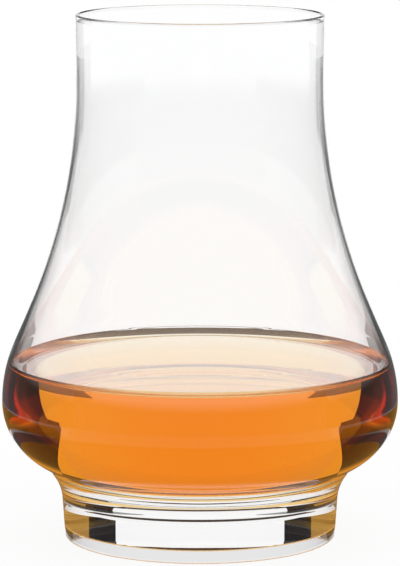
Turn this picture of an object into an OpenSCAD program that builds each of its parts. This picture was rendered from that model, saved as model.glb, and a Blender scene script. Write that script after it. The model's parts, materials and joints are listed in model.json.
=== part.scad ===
// Whisky nosing glass: a thin blown bowl on a heavy pressed foot, with a measure of whisky in it.
// Millimetres, +Z up, origin on the table at the centre of the foot.
// Every piece is turned about the Z axis from a half outline made of tangent arcs.

/* [Bowl, outside] */
// Height from the table to the top of the rim
height = 95.3; // [90:0.1:110]
// Diameter of the belly at its widest
belly_d = 72; // [66:0.5:90]
// Height of the widest ring of the belly
belly_z = 25.2; // [22:0.1:32]
// Radius of the belly's underside, from the widest ring down to the waist
under_r = 12.7; // [10:0.1:15]
// Radius of the shoulder, from the widest ring up to the flank
shoulder_r = 25.7; // [18:0.1:30]
// Length of the straight flank between the shoulder and the hollow neck curve
flank_len = 8.5; // [0:0.5:20]
// Diameter at the throat, the narrowest ring
throat_d = 44.6; // [36:0.1:56]
// Depth of the throat below the top of the rim
throat_depth = 11.8; // [5:0.1:20]
// How far the lip opens outwards past the throat
lip_flare = 0.1; // [0:0.05:3]

/* [Bowl, inside] */
// Wall at the belly and the shoulder
belly_wall = 0.8; // [0.5:0.05:2]
// Wall at the throat
neck_wall = 0.55; // [0.4:0.05:2]
// Wall at the rim, where the fire polish thickens it
rim_wall = 0.75; // [0.4:0.05:2]
// Height of the inside floor at its centre
floor_z = 11.6; // [10:0.1:14]

/* [Foot] */
// How far the belly stands out, on each side, past the line of the foot's wall at the table
overhang = 11.35; // [8:0.05:15]
// Draft of the foot's wall, widening upwards, in degrees
foot_draft = 3.8; // [0:0.1:6]
// Radius of the hollow fillet at the waist, between the foot and the belly
waist_r = 9; // [6:0.1:12]
// Rounding of the foot's lower edge
foot_edge_r = 0.5; // [0.3:0.1:1.5]
// Width of the flat ring that the foot stands on
ring_w = 1; // [0.8:0.1:3]
// Depth of the hollow under the foot
punt_h = 2.3; // [1.2:0.1:3]
// Steepness of the hollow's sides, in degrees
punt_slope = 85; // [60:1:85]
// Radius of the bends from the hollow's flat top to its sides, and from there to the ring
punt_bend_r = 0.3; // [0.2:0.1:0.5]
// How far the fused seam dips at its centre below its edge at the waist
seam_dip = 1.5; // [0.5:0.1:2.5]

/* [Whisky] */
// Level of the whisky above the table
fill_z = 31.2; // [18:0.1:60]
// Rise of the meniscus at the wall
meniscus_h = 1.4; // [0.5:0.1:2]
// Angle that the meniscus has turned through where it meets the wall, in degrees
meniscus_turn = 70; // [30:5:80]
// Gap between the whisky and the glass, so that the whisky turns freely
whisky_gap = 0.2; // [0.1:0.05:0.5]

/* [Hidden] */
$fn = 96;

// Least glass between the hollow under the foot and the seam
foot_web = 1;

throat_z = height - throat_depth;
belly_r = belly_d / 2;
throat_r = throat_d / 2;
foot_r = belly_r - overhang;
arc_steps = 24;
edge_steps = 8;
under_c = [belly_r - under_r, belly_z];

// Points of an arc about c, from angle a0 to angle a1
function arc(c, r, a0, a1, steps = arc_steps) =
    [for (i = [0:steps]) let (a = a0 + (a1 - a0) * i / steps) c + r * [cos(a), sin(a)]];

// Curvature of a shallow cap that rises h over a half width w, and its rise at a distance x
function cap_curve(w, h) = 2 * h / (w * w + h * h);
function cap_rise(k, x) = k * x * x / (1 + sqrt(1 - k * k * x * x));

// Radius of the neck curve that joins a shoulder to a throat with a flank of flank_len
function neck_r(br, sr, tr) =
    let (a = tr - br + sr, h = throat_z - belly_z)
    (a * a + h * h - sr * sr - flank_len * flank_len) / (2 * (br - tr));

// Half outline from the widest ring up to the lip: shoulder, flank, neck curve and lip
function upper_side(br, sr, tr, mouth_r, top_z) =
    let (
        nr = neck_r(br, sr, tr),
        shoulder_c = [br - sr, belly_z],
        neck_c = [tr + nr, throat_z],
        way = neck_c - shoulder_c,
        turn = atan2(way.y, way.x) - acos((sr + nr) / norm(way)),
        lip_h = top_z - throat_z,
        k = cap_curve(lip_h, mouth_r - tr)
    )
    concat(
        arc(shoulder_c, sr, 0, turn),
        arc(neck_c, nr, 180 + turn, 180),
        [for (i = [1:edge_steps]) let (h = lip_h * i / edge_steps) [tr + cap_rise(k, h), throat_z + h]]
    );

// Half outline of the inside, drawn in by gap: floor, underside, shoulder, neck and lip
function inside(gap) =
    let (
        r = under_r - belly_wall - gap,
        h = belly_z - floor_z - gap,
        k = 2 * (h - r) / (under_c.x * under_c.x + h * h - r * r),
        a = atan2(k * h - 1, k * under_c.x),
        floor_edge = under_c.x + r * cos(a)
    )
    concat(
        [for (i = [0:arc_steps - 1]) let (x = floor_edge * i / arc_steps)
            [x, floor_z + gap + cap_rise(k, x)]],
        arc(under_c, r, a, 0),
        upper_side(belly_r - belly_wall - gap, shoulder_r - belly_wall - gap, throat_r - neck_wall - gap,
                   mouth_r - rim_wall - gap, rim_z)
    );

// The lip: its outer radius, and the centre height of its rounded top
mouth_r = throat_r + lip_flare;
rim_z = height - rim_wall / 2;

// The waist: a fillet that touches the foot's wall line and the belly's underside
wall_way = [sin(foot_draft), cos(foot_draft)];
wall_out = [cos(foot_draft), -sin(foot_draft)];
waist_from = [foot_r, 0] + waist_r * wall_out - under_c;
waist_along = waist_from * wall_way;
waist_reach = waist_r + under_r;
waist_up = -waist_along
    - sqrt(waist_along * waist_along - waist_from * waist_from + waist_reach * waist_reach);
waist_c = under_c + waist_from + waist_up * wall_way;
foot_top = waist_c - waist_r * wall_out;
waist_end_a = atan2(waist_c.y - under_c.y, waist_c.x - under_c.x);

// The fused seam, a shallow dish from the axis out to the top of the foot's wall, clear of the hollow
seam_low = max(foot_top.y - seam_dip, punt_h + foot_web);
seam_k = cap_curve(foot_top.x, foot_top.y - seam_low);
seam = [for (i = [0:arc_steps]) let (x = foot_top.x * i / arc_steps)
    [x, seam_low + cap_rise(seam_k, x)]];

// The rounded lower edge of the foot
edge_up = foot_edge_r * (1 - sin(foot_draft)) / cos(foot_draft);
edge_c = [foot_r, 0] - foot_edge_r * wall_out + edge_up * wall_way;

// The hollow under the foot: a flat top, a bend, a steep side and a bend out to the ring
ring_in = edge_c.x - ring_w;
bends_drop = 2 * punt_bend_r * (1 - cos(punt_slope));
bends_run = 2 * punt_bend_r * sin(punt_slope);
punt_r = ring_in - bends_run - (punt_h - bends_drop) / tan(punt_slope);
punt = concat(
    [[0, punt_h]],
    arc([punt_r, punt_h - punt_bend_r], punt_bend_r, 90, 90 - punt_slope, edge_steps),
    arc([ring_in, punt_bend_r], punt_bend_r, 270 - punt_slope, 270, edge_steps)
);

function reversed(points) = [for (i = [len(points) - 1:-1:0]) points[i]];

// Bowl: blown belly and neck, closed by a floor that is fused to the foot
module bowl() {
    outside = concat(
        arc(waist_c, waist_r, 180 - foot_draft, 180 + waist_end_a),
        arc(under_c, under_r, waist_end_a, 0),
        upper_side(belly_r, shoulder_r, throat_r, mouth_r, rim_z)
    );
    rim = arc([mouth_r - rim_wall / 2, rim_z], rim_wall / 2, 0, 180, edge_steps);
    color([0.96, 0.97, 0.97, 0.35])
    rotate_extrude()
    polygon(concat(seam, outside, rim, reversed(inside(0))));
}

// Foot: pressed solid disc that stands on a ring, with a hollow under it
module foot() {
    edge = arc(edge_c, foot_edge_r, -90, -foot_draft, edge_steps);
    color([0.93, 0.95, 0.95, 0.45])
    rotate_extrude()
    polygon(concat(punt, edge, reversed(seam)));
}

// Whisky: fills the bowl up to its level, with a meniscus that climbs the wall
module whisky() {
    bed = inside(whisky_gap);
    contact_z = fill_z + meniscus_h;
    contact_r = lookup(contact_z, [for (p = bed) [p.y, p.x]]);
    meniscus_r = meniscus_h / (1 - cos(meniscus_turn));
    meniscus_c = [contact_r - meniscus_r * sin(meniscus_turn), fill_z + meniscus_r];
    color([0.85, 0.45, 0.10, 0.75])
    rotate_extrude()
    polygon(concat(
        [for (p = bed) if (p.y < contact_z) p],
        arc(meniscus_c, meniscus_r, meniscus_turn - 90, -90, edge_steps),
        [[0, fill_z]]
    ));
}

bowl();
foot();
whisky();
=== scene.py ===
# %% [markdown]
# # A whisky nosing glass, dressed for the camera
#
# The real object is a thin blown bowl fused to a heavy pressed foot, with a measure of whisky in it.
# All three pieces are round, so each one is drawn as half an outline and turned about the Z axis, the
# way a lathe or a spinning mould makes it. The frame gives the places and the outer sizes.

# %% Load the frame
import json
import math

import bmesh
import bpy
from mathutils import Matrix, Vector

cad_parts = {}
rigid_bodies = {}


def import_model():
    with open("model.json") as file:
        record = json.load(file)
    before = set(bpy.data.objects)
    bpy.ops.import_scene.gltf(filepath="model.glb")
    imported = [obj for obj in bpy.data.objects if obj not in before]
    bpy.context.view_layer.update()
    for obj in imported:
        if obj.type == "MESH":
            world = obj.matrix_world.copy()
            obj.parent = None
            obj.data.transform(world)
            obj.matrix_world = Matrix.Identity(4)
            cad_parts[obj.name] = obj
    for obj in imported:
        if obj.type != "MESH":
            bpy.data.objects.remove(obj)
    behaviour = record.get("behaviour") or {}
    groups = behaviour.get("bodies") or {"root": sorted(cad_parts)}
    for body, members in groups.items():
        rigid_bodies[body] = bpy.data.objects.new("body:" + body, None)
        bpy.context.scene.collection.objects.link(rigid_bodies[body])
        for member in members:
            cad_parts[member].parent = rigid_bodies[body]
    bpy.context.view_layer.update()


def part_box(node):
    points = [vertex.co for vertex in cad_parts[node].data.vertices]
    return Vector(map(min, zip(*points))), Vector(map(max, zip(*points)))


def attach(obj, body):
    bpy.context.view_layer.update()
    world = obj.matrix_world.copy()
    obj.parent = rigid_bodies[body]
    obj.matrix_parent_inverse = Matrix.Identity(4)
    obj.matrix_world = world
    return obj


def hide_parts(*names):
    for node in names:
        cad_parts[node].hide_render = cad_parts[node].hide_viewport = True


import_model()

# %% [markdown]
# ## Sizes
#
# Blender works in metres, and a glass is easier to think of in millimetres, so the sizes are written in
# millimetres and multiplied once. The outer reach of each piece is read from the frame. The radii of the
# curves are the design's own, because a box can't tell them.

# %% Sizes of the glass
MM = 0.001

bowl_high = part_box("bowl")[1]
foot_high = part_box("foot")[1]
whisky_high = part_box("whisky")[1]

height = bowl_high.z
belly_r = bowl_high.x
foot_top = Vector((foot_high.x, foot_high.z))

belly_z = 25.2 * MM
under_r = 12.7 * MM
shoulder_r = 25.7 * MM
flank_len = 8.5 * MM
throat_r = 22.3 * MM
throat_depth = 11.8 * MM
lip_flare = 0.1 * MM
throat_z = height - throat_depth
mouth_r = throat_r + lip_flare
belly_wall = 0.8 * MM
neck_wall = 0.55 * MM
rim_wall = 0.75 * MM
rim_z = height - rim_wall / 2
floor_z = 11.6 * MM
foot_draft = math.radians(3.8)
waist_r = 9.0 * MM
foot_edge_r = 0.5 * MM
ring_w = 1.0 * MM
punt_h = 2.3 * MM
punt_slope = math.radians(85)
punt_bend_r = 0.3 * MM
seam_dip = 1.5 * MM
fill_z = 31.2 * MM
meniscus_h = whisky_high.z - fill_z
meniscus_turn = math.radians(70)
print(f"height {height / MM:.1f} mm, belly {2 * belly_r / MM:.1f} mm, foot top {foot_top / MM}")

# %% [markdown]
# ## Drawing an outline with one point
#
# A lathe outline is a chain of edges in the XZ plane. It could be typed in as a list of points, but then
# every round stretch would be a guess. Here one vertex is carried along instead: `spin` swings it about
# the centre of each arc and leaves a trail of edges, and `extrude_vert_indiv` carries it straight on.
# Smooth shading blends the direction of neighbouring faces, which would bend a straight wall's look, so
# a straight stretch gets a short hem at each end, and the blend stays inside the hem.

# %% Tools that draw the outline
ARC_STEP = math.radians(3)
LEAST_STEPS = 6
EDGE_STEPS = 12
CAP_STEPS = 40
HEM = 0.1 * MM


def on_circle(centre, radius, angle):
    return centre + radius * Vector((math.cos(angle), math.sin(angle)))


def start_chain(bm, place):
    return bm.verts.new((place.x, 0, place.y))


def swing(bm, point, centre, turn, steps=None):
    """Carries the chain's last point round centre, anticlockwise for a positive turn."""
    steps = steps or max(LEAST_STEPS, round(abs(turn) / ARC_STEP))
    trail = bmesh.ops.spin(bm, geom=[point], cent=(centre.x, 0, centre.y), axis=(0, -1, 0),
                           angle=turn, steps=steps)
    return trail["geom_last"][0]


def step_to(bm, point, place):
    """Carries the chain's last point to place in one edge."""
    new = bmesh.ops.extrude_vert_indiv(bm, verts=[point])["verts"][0]
    new.co = (place.x, 0, place.y)
    return new


def run_to(bm, point, place):
    """Carries the chain's last point straight to place, with a hem at each end."""
    start = Vector((point.co.x, point.co.z))
    hem = HEM * (place - start).normalized()
    for stop in (start + hem, place - hem, place):
        point = step_to(bm, point, stop)
    return point


def cap_curve(half_width, rise):
    """Curvature of a shallow cap."""
    return 2 * rise / (half_width ** 2 + rise ** 2)


def draw_cap(bm, centre_z, edge_r, rise):
    """Draws a shallow cap from the axis out to edge_r, which lies rise above centre_z."""
    k = cap_curve(edge_r, rise)
    hub = Vector((0, centre_z + 1 / k))
    point = start_chain(bm, Vector((0, centre_z)))
    return swing(bm, point, hub, math.asin(edge_r * k), CAP_STEPS)


# %% [markdown]
# ## From outline to piece
#
# `spin` also turns the whole chain round the Z axis. A full turn closes on itself with `use_merge`, and
# the points on the axis fall together when doubles are merged, which closes the poles. Normals are
# recalculated after that, because glass only bends light the right way when its faces point outwards.

# %% Tools that turn the outline into a piece
SEGMENTS = 256
TINY = 5e-6
SHARP = math.radians(35)


def lathe(bm, name):
    bmesh.ops.remove_doubles(bm, verts=bm.verts[:], dist=TINY)
    chain = bm.verts[:] + bm.edges[:]
    bmesh.ops.spin(bm, geom=chain, cent=(0, 0, 0), axis=(0, 0, 1), angle=math.tau, steps=SEGMENTS,
                   use_merge=True)
    bmesh.ops.remove_doubles(bm, verts=bm.verts[:], dist=TINY)
    bmesh.ops.recalc_face_normals(bm, faces=bm.faces[:])
    open_edges = sum(not e.is_manifold for e in bm.edges)
    for face in bm.faces:
        face.smooth = True
    mesh = bpy.data.meshes.new(name)
    bm.to_mesh(mesh)
    bm.free()
    mesh.set_sharp_from_angle(angle=SHARP)
    piece = bpy.data.objects.new(name, mesh)
    bpy.context.scene.collection.objects.link(piece)
    print(f"{name}: {len(mesh.polygons)} faces, {open_edges} open edges")
    return piece


# %% [markdown]
# ## The neck and the shoulder
#
# Above its widest ring the wall is a round shoulder, a short straight flank, a long hollow neck curve
# and a lip that opens by a hair. The neck's radius follows from the other sizes, because the flank has to
# touch both arcs. The outside and the inside are the same drawing with different sizes.

# %% Upper side
NECK_STEPS = 30


def neck_radius(br, sr, tr):
    across = tr - br + sr
    up = throat_z - belly_z
    return (across ** 2 + up ** 2 - sr ** 2 - flank_len ** 2) / (2 * (br - tr))


def shoulder_turn(br, sr, tr):
    nr = neck_radius(br, sr, tr)
    way = Vector((tr + nr, throat_z)) - Vector((br - sr, belly_z))
    return math.atan2(way.y, way.x) - math.acos((sr + nr) / way.length)


def draw_upper_side(bm, point, br, sr, tr, mouth):
    nr = neck_radius(br, sr, tr)
    turn = shoulder_turn(br, sr, tr)
    neck_c = Vector((tr + nr, throat_z))
    point = swing(bm, point, Vector((br - sr, belly_z)), turn)
    point = run_to(bm, point, on_circle(neck_c, nr, math.pi + turn))
    point = swing(bm, point, neck_c, -turn, NECK_STEPS)
    lip_h = rim_z - throat_z
    k = cap_curve(lip_h, mouth - tr)
    return swing(bm, point, Vector((tr + 1 / k, throat_z)), -math.asin(lip_h * k), EDGE_STEPS)


# %% [markdown]
# ## The bed of the bowl
#
# Inside, a nearly flat floor runs into the round underside without a corner. The same bed is drawn twice:
# once as the inner wall of the glass, and once, a hair larger, as the outside of the whisky.

# %% Bed
under_c = Vector((belly_r - under_r, belly_z))


def draw_bed(bm, gap):
    """Draws floor and underside up to the widest ring, drawn in by gap, and returns the last point."""
    r = under_r - belly_wall - gap
    h = belly_z - floor_z - gap
    k = 2 * (h - r) / (under_c.x ** 2 + h ** 2 - r ** 2)
    a = math.atan2(k * h - 1, k * under_c.x)
    edge = on_circle(under_c, r, a)
    point = start_chain(bm, Vector((0, floor_z + gap)))
    point = swing(bm, point, Vector((0, floor_z + gap + 1 / k)), math.asin(edge.x * k), CAP_STEPS)
    return swing(bm, point, under_c, -a)


# %% [markdown]
# ## The bowl
#
# The bowl is one closed wall: the seam underneath, the waist and the belly outside, a rounded
# fire-polished rim, and the bed and neck inside.

# %% Bowl
wall_way = Vector((math.sin(foot_draft), math.cos(foot_draft)))
wall_out = Vector((math.cos(foot_draft), -math.sin(foot_draft)))
waist_c = foot_top + waist_r * wall_out
waist_end = math.atan2(waist_c.y - under_c.y, waist_c.x - under_c.x)


def make_bowl():
    bm = bmesh.new()
    point = draw_cap(bm, foot_top.y - seam_dip, foot_top.x, seam_dip)
    point = swing(bm, point, waist_c, waist_end + foot_draft)
    point = swing(bm, point, under_c, -waist_end)
    point = draw_upper_side(bm, point, belly_r, shoulder_r, throat_r, mouth_r)
    swing(bm, point, Vector((mouth_r - rim_wall / 2, rim_z)), math.pi, EDGE_STEPS)
    point = draw_bed(bm, 0)
    draw_upper_side(bm, point, belly_r - belly_wall, shoulder_r - belly_wall, throat_r - neck_wall,
                    mouth_r - rim_wall)
    return lathe(bm, "bowl_glass")


bowl = make_bowl()

# %% [markdown]
# ## The foot
#
# The foot is a thick drum with a little draft, a rounded lower edge, a flat ring that it stands on and a
# hollow with steep sides under it. Those sides mirror the room, and the flat top of the hollow shows as
# a bright window in the foot. The drum's top is the dished seam where it is fused to the bowl.

# %% Foot
foot_r = foot_top.x - foot_top.y * math.tan(foot_draft)
edge_up = foot_edge_r * (1 - math.sin(foot_draft)) / math.cos(foot_draft)
edge_c = Vector((foot_r, 0)) - foot_edge_r * wall_out + edge_up * wall_way
ring_in = edge_c.x - ring_w
bends_drop = 2 * punt_bend_r * (1 - math.cos(punt_slope))
bends_run = 2 * punt_bend_r * math.sin(punt_slope)
punt_r = ring_in - bends_run - (punt_h - bends_drop) / math.tan(punt_slope)


def make_foot():
    bm = bmesh.new()
    point = start_chain(bm, Vector((0, punt_h)))
    point = run_to(bm, point, Vector((punt_r, punt_h)))
    point = swing(bm, point, Vector((punt_r, punt_h - punt_bend_r)), -punt_slope, EDGE_STEPS)
    ring_c = Vector((ring_in, punt_bend_r))
    point = run_to(bm, point, on_circle(ring_c, punt_bend_r, 1.5 * math.pi - punt_slope))
    point = swing(bm, point, ring_c, punt_slope, EDGE_STEPS)
    point = run_to(bm, point, Vector((edge_c.x, 0)))
    point = swing(bm, point, edge_c, math.pi / 2 - foot_draft, EDGE_STEPS)
    run_to(bm, point, foot_top)
    draw_cap(bm, foot_top.y - seam_dip, foot_top.x, seam_dip)
    return lathe(bm, "foot_glass")


foot = make_foot()

# %% [markdown]
# ## The whisky
#
# The whisky wets the glass, so its outside reaches a hair into the wall. With a gap there, light would
# leave the glass, cross air and enter the drink, and the drink would look like a loose jelly. Its top is
# level, and climbs the wall in a small meniscus.

# %% Whisky
WETTING = 0.05 * MM
WETTED_STEPS = 20
MENISCUS_STEPS = 16


def make_whisky():
    bm = bmesh.new()
    br = belly_r - belly_wall + WETTING
    sr = shoulder_r - belly_wall + WETTING
    rise = math.asin((fill_z + meniscus_h - belly_z) / sr)
    point = swing(bm, draw_bed(bm, -WETTING), Vector((br - sr, belly_z)), rise, WETTED_STEPS)
    meniscus_r = meniscus_h / (1 - math.cos(meniscus_turn))
    contact = Vector((point.co.x, point.co.z))
    hub = contact + meniscus_r * Vector((-math.sin(meniscus_turn), math.cos(meniscus_turn)))
    point = swing(bm, point, hub, -meniscus_turn, MENISCUS_STEPS)
    run_to(bm, point, Vector((0, fill_z)))
    return lathe(bm, "whisky_drink")


whisky = make_whisky()

# %% [markdown]
# ## Clear glass
#
# Blown glass is a Principled shader with full transmission and the index of soda-lime glass. It is never
# quite even: cooling leaves the thinnest waves in it. A slow noise on the object's own coordinates tilts
# the surface by a hair, and tints it by a trace of green, as iron in the sand does.

# %% Glass material
GLASS_IOR = 1.52
IRON_TINT = (0.992, 0.997, 0.995, 1)
CLEAR = (1, 1, 1, 1)


def new_material(name):
    material = bpy.data.materials.new(name)
    material.use_nodes = True
    return material, material.node_tree.nodes, material.node_tree.links


def make_glass_material(name, wave_size, wave_height):
    material, nodes, links = new_material(name)
    shader = nodes["Principled BSDF"]
    shader.inputs["Roughness"].default_value = 0.0
    shader.inputs["IOR"].default_value = GLASS_IOR
    shader.inputs["Transmission Weight"].default_value = 1.0
    place = nodes.new("ShaderNodeTexCoord")
    noise = nodes.new("ShaderNodeTexNoise")
    noise.inputs["Scale"].default_value = 1 / wave_size
    noise.inputs["Detail"].default_value = 1.0
    links.new(place.outputs["Object"], noise.inputs["Vector"])
    tint = nodes.new("ShaderNodeValToRGB")
    tint.color_ramp.elements[0].color = IRON_TINT
    tint.color_ramp.elements[1].color = CLEAR
    links.new(noise.outputs["Fac"], tint.inputs["Fac"])
    links.new(tint.outputs["Color"], shader.inputs["Base Color"])
    waves = nodes.new("ShaderNodeBump")
    waves.inputs["Strength"].default_value = 1.0
    waves.inputs["Distance"].default_value = wave_height
    links.new(noise.outputs["Fac"], waves.inputs["Height"])
    links.new(waves.outputs["Normal"], shader.inputs["Normal"])
    return material


bowl_material = make_glass_material("blown_glass", wave_size=14 * MM, wave_height=0.01 * MM)
foot_material = make_glass_material("pressed_glass", wave_size=8 * MM, wave_height=0.004 * MM)
print("glass:", bowl_material.name, foot_material.name)

# %% [markdown]
# ## The fused seam
#
# Bowl and foot were melted together, so no light turns at the seam, although each piece has a face there.
# Those faces get a shader with no opacity: light goes straight on, and still counts as inside glass.

# %% Seam material
SEAM_REACH = 0.02 * MM


def make_seam_material():
    material, nodes, _ = new_material("fused_seam")
    nodes["Principled BSDF"].inputs["Alpha"].default_value = 0.0
    return material


def mark_seam(piece):
    """Gives the faces of the fused seam the piece's second material."""
    k = cap_curve(foot_top.x, seam_dip)
    count = 0
    for face in piece.data.polygons:
        r = math.hypot(face.center.x, face.center.y)
        if r < foot_top.x:
            z = foot_top.y - seam_dip + k * r * r / (1 + math.sqrt(1 - (k * r) ** 2))
            if abs(face.center.z - z) < SEAM_REACH:
                face.material_index = 1
                count += 1
    print(f"{piece.name}: {count} seam faces")


seam_material = make_seam_material()
for piece, material in ((bowl, bowl_material), (foot, foot_material)):
    piece.data.materials.append(material)
    piece.data.materials.append(seam_material)
    mark_seam(piece)

# %% [markdown]
# ## The whisky's colour
#
# Whisky is clear, and its colour comes from depth: the volume takes out blue first and then green, so
# thin layers are yellow and deep ones brown. Where it wets the wall, light goes from glass to whisky with
# hardly any reflection, so the shader's own reflection is switched off. Its free top does reflect, and a
# coat gives that back wherever the surface faces up.

# %% Whisky material
WHISKY_IOR = 1.36
WHISKY_HUE = (0.993, 0.73, 0.05, 1)
WHISKY_DENSITY = 75.0
NO_REFLECTION = (0, 0, 0, 1)
UP_FROM, UP_TO = 0.4, 0.6


def make_whisky_material():
    material, nodes, links = new_material("whisky")
    shader = nodes["Principled BSDF"]
    shader.inputs["Base Color"].default_value = CLEAR
    shader.inputs["Roughness"].default_value = 0.0
    shader.inputs["IOR"].default_value = WHISKY_IOR
    shader.inputs["Specular Tint"].default_value = NO_REFLECTION
    shader.inputs["Transmission Weight"].default_value = 1.0
    shader.inputs["Coat IOR"].default_value = WHISKY_IOR
    shader.inputs["Coat Roughness"].default_value = 0.0
    place = nodes.new("ShaderNodeTexCoord")
    parts = nodes.new("ShaderNodeSeparateXYZ")
    links.new(place.outputs["Normal"], parts.inputs["Vector"])
    facing_up = nodes.new("ShaderNodeMapRange")
    facing_up.inputs["From Min"].default_value = UP_FROM
    facing_up.inputs["From Max"].default_value = UP_TO
    links.new(parts.outputs["Z"], facing_up.inputs["Value"])
    links.new(facing_up.outputs["Result"], shader.inputs["Coat Weight"])
    depth = nodes.new("ShaderNodeVolumeAbsorption")
    depth.inputs["Color"].default_value = WHISKY_HUE
    depth.inputs["Density"].default_value = WHISKY_DENSITY
    links.new(depth.outputs["Volume"], nodes["Material Output"].inputs["Volume"])
    return material


whisky_material = make_whisky_material()
whisky.data.materials.append(whisky_material)
print("whisky:", whisky_material.name)

# %% [markdown]
# ## Riding the frame
#
# Bowl and foot ride the glass body. The whisky rides its own body, which turns in the bowl.

# %% Ride
for piece, node, body, slot in ((bowl, "bowl", "glass", "bowl_glass"),
                                (foot, "foot", "glass", "foot_glass"),
                                (whisky, "whisky", "whisky", "whisky")):
    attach(piece, body)
    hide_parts(node)
    print(f"{piece.name} rides {body}")

# %% [markdown]
# ## The camera
#
# The picture was taken with a long lens from a little above. Distance and height were solved from the
# ellipses of rim, liquid and foot, which open wider the lower they are.

# %% Camera
CAMERA_BACK, CAMERA_UP = 651.5 * MM, 146.9 * MM
AIM_UP = 46.5 * MM
SENSOR_HEIGHT = 36
LENS = 231.3
CLIP_START = 0.01

scene = bpy.context.scene
camera_data = bpy.data.cameras.new("camera")
camera = bpy.data.objects.new("camera", camera_data)
scene.collection.objects.link(camera)
scene.camera = camera
camera.location = (0, -CAMERA_BACK, CAMERA_UP)
aim = Vector((0, 0, AIM_UP))
camera.rotation_euler = (aim - camera.location).to_track_quat("-Z", "Y").to_euler()
camera_data.sensor_fit = "VERTICAL"
camera_data.sensor_height = SENSOR_HEIGHT
camera_data.lens = LENS
camera_data.clip_start = CLIP_START
print(f"camera: lens {camera_data.lens:.1f} mm")

# %% [markdown]
# ## Light for glass
#
# Clear glass has no colour of its own: it shows what stands around it, bent. Bright-field light is the
# studio way to draw it. A white field stands straight behind, and cards around the glass give it edges,
# bands and warmth. The white field here is the world itself. Light turns many times inside thick glass,
# so its paths get more bounces than usual. With fewer, the foot would fill with black.

# %% World and bounces
WHITE = (1, 1, 1, 1)
PATH_BOUNCES = 32
MIRROR_BOUNCES = 16

scene.view_settings.view_transform = "Standard"
scene.cycles.max_bounces = PATH_BOUNCES
scene.cycles.transmission_bounces = PATH_BOUNCES
scene.cycles.glossy_bounces = MIRROR_BOUNCES

world = bpy.data.worlds.new("studio")
scene.world = world
world.use_nodes = True
world.node_tree.nodes["Background"].inputs["Color"].default_value = WHITE
world.node_tree.nodes["Background"].inputs["Strength"].default_value = 1.0
print(f"world: {world.name}, {scene.cycles.max_bounces} bounces")

# %% [markdown]
# ## A turntable for the cards
#
# In a studio the rig follows the lens. The cards hang on an empty object, and a Locked Track constraint
# turns it about Z to face the camera, so the glass is lit in the same way from every side.

# %% Turntable
turntable = bpy.data.objects.new("turntable", None)
scene.collection.objects.link(turntable)
facing = turntable.constraints.new("LOCKED_TRACK")
facing.target = camera
facing.track_axis = "TRACK_NEGATIVE_Y"
facing.lock_axis = "LOCK_Z"
print("turntable faces:", facing.target.name)

# %% [markdown]
# ## What a card is
#
# A card is a mesh with a plain glow that only glass and gloss can see. The camera, the floor and the
# shadows leave it out, so the picture's ground stays white. A standing card can fade out upwards, because
# the whisky would show a hard top edge as a line.

# %% Card tools
def finish_card(bm, name, colour):
    """Makes a card of the mesh that only glass can see."""
    mesh = bpy.data.meshes.new(name)
    bm.to_mesh(mesh)
    bm.free()
    card = bpy.data.objects.new(name, mesh)
    scene.collection.objects.link(card)
    material, nodes, links = new_material(name)
    nodes.remove(nodes["Principled BSDF"])
    glow = nodes.new("ShaderNodeEmission")
    glow.inputs["Color"].default_value = (*colour, 1)
    links.new(glow.outputs["Emission"], nodes["Material Output"].inputs["Surface"])
    mesh.materials.append(material)
    card.visible_camera = False
    card.visible_diffuse = False
    card.visible_shadow = False
    card.visible_volume_scatter = False
    card.parent = turntable
    return card


def fade_top(card, low, high):
    """Lets a standing card fade out between two heights, so that glass shows no hard edge of it."""
    nodes = card.active_material.node_tree.nodes
    links = card.active_material.node_tree.links
    place = nodes.new("ShaderNodeTexCoord")
    parts = nodes.new("ShaderNodeSeparateXYZ")
    links.new(place.outputs["Object"], parts.inputs["Vector"])
    fade = nodes.new("ShaderNodeMapRange")
    fade.interpolation_type = "SMOOTHSTEP"
    fade.inputs["From Min"].default_value = low * MM
    fade.inputs["From Max"].default_value = high * MM
    links.new(parts.outputs["Z"], fade.inputs["Value"])
    clear = nodes.new("ShaderNodeBsdfTransparent")
    mix = nodes.new("ShaderNodeMixShader")
    links.new(fade.outputs["Result"], mix.inputs["Fac"])
    links.new(nodes["Emission"].outputs["Emission"], mix.inputs[1])
    links.new(clear.outputs["BSDF"], mix.inputs[2])
    links.new(mix.outputs["Shader"], nodes["Material Output"].inputs["Surface"])


# %% [markdown]
# ## Cutting the cards
#
# Most cards are bent round the glass: a short section is drawn straight behind it, turned to one side and
# spun about Z. A wall's section runs up, and a floor ring's runs outwards. A flat card of another shape
# is a single face between its corners. Sizes are in millimetres, and sides are angles in degrees from
# straight behind.

# %% Card shapes
BEND_STEPS = 48


def bend_card(name, inner, outer, side_from, side_to, colour):
    """A card whose section runs from inner to outer, each a radius and a height."""
    bm = bmesh.new()
    ends = []
    for radius, z in (inner, outer):
        ends.append(bm.verts.new((0, radius * MM, z * MM)))
    bmesh.ops.rotate(bm, verts=ends, matrix=Matrix.Rotation(-math.radians(side_from), 3, "Z"))
    edge = bm.edges.new(ends)
    bmesh.ops.spin(bm, geom=[*ends, edge], cent=(0, 0, 0), axis=(0, 0, -1),
                   angle=math.radians(side_to - side_from), steps=BEND_STEPS)
    return finish_card(bm, name, colour)


def stand_wall(name, radius, low, high, side_from, side_to, colour):
    return bend_card(name, (radius, low), (radius, high), side_from, side_to, colour)


def lay_ring(name, inner, outer, lift, side_from, side_to, colour):
    return bend_card(name, (inner, lift), (outer, lift), side_from, side_to, colour)


def lay_card(name, corners, lift, side, colour):
    """A flat card, with corners given to the right and to the back."""
    bm = bmesh.new()
    bm.faces.new([bm.verts.new((side * x * MM, y * MM, lift * MM)) for x, y in corners])
    return finish_card(bm, name, colour)


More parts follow.
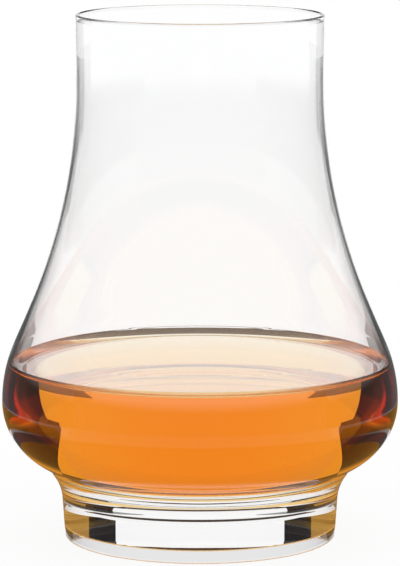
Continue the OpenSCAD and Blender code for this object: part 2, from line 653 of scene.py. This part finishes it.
# %% [markdown]
# ## Dark walls at the sides
#
# Near its outline the belly bends the view far round to the side, so whatever stands there becomes a band
# along the edge. A black wall on each side draws it. In a reflection that black would be too strong, so
# the black walls are hidden from gloss, and a grey wall just inside them is all that gloss can see.

# %% Side walls
SIDES = ((-1, "left"), (1, "right"))
BLACK = (0.012, 0.010, 0.010)
SHEEN = (0.18, 0.18, 0.18)
WALL_R, WALL_STEP, WALL_TOP = 150, 43, 68
SHEEN_R, SHEEN_TOP = 149, 52
LOW_START, HIGH_START, SHEEN_START, WALL_END = 22, 18.4, 23.5, 120
WALL_FADE, SHEEN_FADE = 52, 36

for side, label in SIDES:
    end = WALL_END * side
    low_wall = stand_wall(f"low_wall_{label}", WALL_R, 0, WALL_STEP, LOW_START * side, end, BLACK)
    high_wall = stand_wall(f"high_wall_{label}", WALL_R, WALL_STEP, WALL_TOP, HIGH_START * side, end, BLACK)
    fade_top(high_wall, WALL_FADE, WALL_TOP)
    low_wall.visible_glossy = False
    high_wall.visible_glossy = False
    sheen_wall = stand_wall(f"sheen_wall_{label}", SHEEN_R, 0, SHEEN_TOP, SHEEN_START * side, end, SHEEN)
    fade_top(sheen_wall, SHEEN_FADE, SHEEN_TOP)
    sheen_wall.visible_transmission = False
    print("side walls:", low_wall.name, high_wall.name, sheen_wall.name)

# %% [markdown]
# ## Grey cards and painted shade on the table
#
# The lower belly and the foot look down at the table. Grey cards at the sides and in front keep it from
# going white there, and leave the white lane straight behind the glass open. A dark ring round the foot,
# open at the back, and a pale grey disc in the hollow under it are painted shade on the table. Floor cards
# overlap, so each one lies a hair above the one that it covers.

# %% Floor cards
NEAR_SHADE = (0.1, 0.1, 0.1)
GREY = (0.3, 0.3, 0.3)
VEIL = (0.45, 0.45, 0.45)
HOLLOW_SHADE = (0.85, 0.85, 0.85)
GREY_LIFT, VEIL_LIFT, NEAR_LIFT = 0.02, 0.03, 0.04
LANE_EDGE = ((49, 120), (60, 250), (130, 450), (420, 1450))
OUTER_EDGE = ((1000, 1000), (330, 330), (330, -100), (75, -50), (75, 40))
RING_START, RING_END = 45, 110
FRONT_START, FRONT_END = 110, 250
NEAR_START, NEAR_END = 40, 320
NEAR_R, MID_R, FAR_R, FRONT_R = 26, 75, 150, 220
FRONT_FADE, FRONT_TOP = 40, 66
HOLLOW_FROM, HOLLOW_TO = 0.5, 23

for side, label in SIDES:
    lay_card(f"grey_floor_{label}", LANE_EDGE + OUTER_EDGE, GREY_LIFT, side, GREY)
    lay_ring(f"veil_floor_{label}", MID_R, FAR_R, VEIL_LIFT, RING_START * side, RING_END * side, VEIL)
front_wall = stand_wall("front_wall", FAR_R, 0, FRONT_TOP, FRONT_START, FRONT_END, SHEEN)
fade_top(front_wall, FRONT_FADE, FRONT_TOP)
# painted shade: a dark ring on the table round the foot, open at the back
lay_ring("near_shade_floor", NEAR_R, MID_R, NEAR_LIFT, NEAR_START, NEAR_END, NEAR_SHADE)
lay_ring("front_floor", MID_R, FRONT_R, NEAR_LIFT, FRONT_START, FRONT_END, GREY)
# painted shade: a pale grey disc on the table in the hollow under the foot
lay_ring("shade_under_foot", HOLLOW_FROM, HOLLOW_TO, GREY_LIFT, 0, 360, HOLLOW_SHADE)
print("floor cards:", sum("floor" in card.name for card in turntable.children))

# %% [markdown]
# ## Warm light and a painted shadow
#
# Light that has gone through the whisky falls on the table in amber, and the foot picks that up. Following
# it there would take a slow kind of rendering, so amber cards close to the foot stand in for it. The
# whisky's brown shadow on the table behind the glass is painted too, as a brown card lying there. It and a
# second brown card high up come out as thin lines along the back of the whisky's surface and across the
# foot.

# %% Warm cards
AMBER = (0.40, 0.205, 0.04)
BROWN = (0.066, 0.040, 0.028)
AMBER_R, AMBER_LOW, AMBER_HIGH = 60, 8, 17
AMBER_START, AMBER_END = 24, 115
SHADOW_LIFT, AMBER_LIFT = 0.05, 0.06
SHADOW_R, SHADOW_SIDE = 95, 26
TOP_R, TOP_LOW, TOP_HIGH, TOP_SIDE = 1000, 287, 554, 27

for side, label in SIDES:
    stand_wall(f"amber_wall_{label}", AMBER_R, AMBER_LOW, AMBER_HIGH, AMBER_START * side, AMBER_END * side,
               AMBER)
    lay_ring(f"amber_floor_{label}", NEAR_R, AMBER_R, AMBER_LIFT, RING_START * side, RING_END * side, AMBER)
# painted shadow: the whisky's brown shadow on the table behind the glass
lay_ring("whisky_shadow_floor", AMBER_R, SHADOW_R, SHADOW_LIFT, -SHADOW_SIDE, SHADOW_SIDE, BROWN)
stand_wall("top_card", TOP_R, TOP_LOW, TOP_HIGH, -TOP_SIDE, TOP_SIDE, BROWN)
print("cards on the turntable:", len(turntable.children))

# %% [markdown]
# ## The floor
#
# The floor is a plain pale sheet. Most of its white is its own glow, which only the camera, glass and
# gloss can see, and the rest is lit like any sheet of paper, so that it keeps the glass's soft shadow.

# %% Floor sheet
FLOOR_HALF = 3
FLOOR_CELLS = 8
FLOOR_DROP = 0.02 * MM

bm = bmesh.new()
bmesh.ops.create_grid(bm, x_segments=FLOOR_CELLS, y_segments=FLOOR_CELLS, size=FLOOR_HALF,
                      matrix=Matrix.Translation((0, 0, -FLOOR_DROP)))
floor_mesh = bpy.data.meshes.new("floor")
bm.to_mesh(floor_mesh)
bm.free()
floor = bpy.data.objects.new("floor", floor_mesh)
scene.collection.objects.link(floor)
print(f"floor: {len(floor_mesh.polygons)} faces")

# %% [markdown]
# ## Paper that glows
#
# A Light Path node tells which kind of ray asks. Rays from the camera, through glass and off gloss mostly
# get the glow, and the light that falls on the sheet gets plain paper.

# %% Floor material
PAPER = (0.97, 0.97, 0.97, 1)
GLOW_SHARE = 0.92

material, nodes, links = new_material("floor")
shader = nodes["Principled BSDF"]
shader.inputs["Base Color"].default_value = PAPER
shader.inputs["Roughness"].default_value = 1.0
shader.inputs["Specular IOR Level"].default_value = 0.0
path = nodes.new("ShaderNodeLightPath")
glow = nodes.new("ShaderNodeEmission")
through_glass = nodes.new("ShaderNodeMath")
through_glass.operation = "MAXIMUM"
links.new(path.outputs["Is Transmission Ray"], through_glass.inputs[0])
links.new(path.outputs["Is Glossy Ray"], through_glass.inputs[1])
seen = nodes.new("ShaderNodeMath")
seen.operation = "MAXIMUM"
links.new(path.outputs["Is Camera Ray"], seen.inputs[0])
links.new(through_glass.outputs["Value"], seen.inputs[1])
share = nodes.new("ShaderNodeMath")
share.operation = "MULTIPLY"
share.inputs[1].default_value = GLOW_SHARE
links.new(seen.outputs["Value"], share.inputs[0])
mix = nodes.new("ShaderNodeMixShader")
links.new(share.outputs["Value"], mix.inputs["Fac"])
links.new(shader.outputs["BSDF"], mix.inputs[1])
links.new(glow.outputs["Emission"], mix.inputs[2])
links.new(mix.outputs["Shader"], nodes["Material Output"].inputs["Surface"])
floor_mesh.materials.append(material)
print("floor material:", material.name)
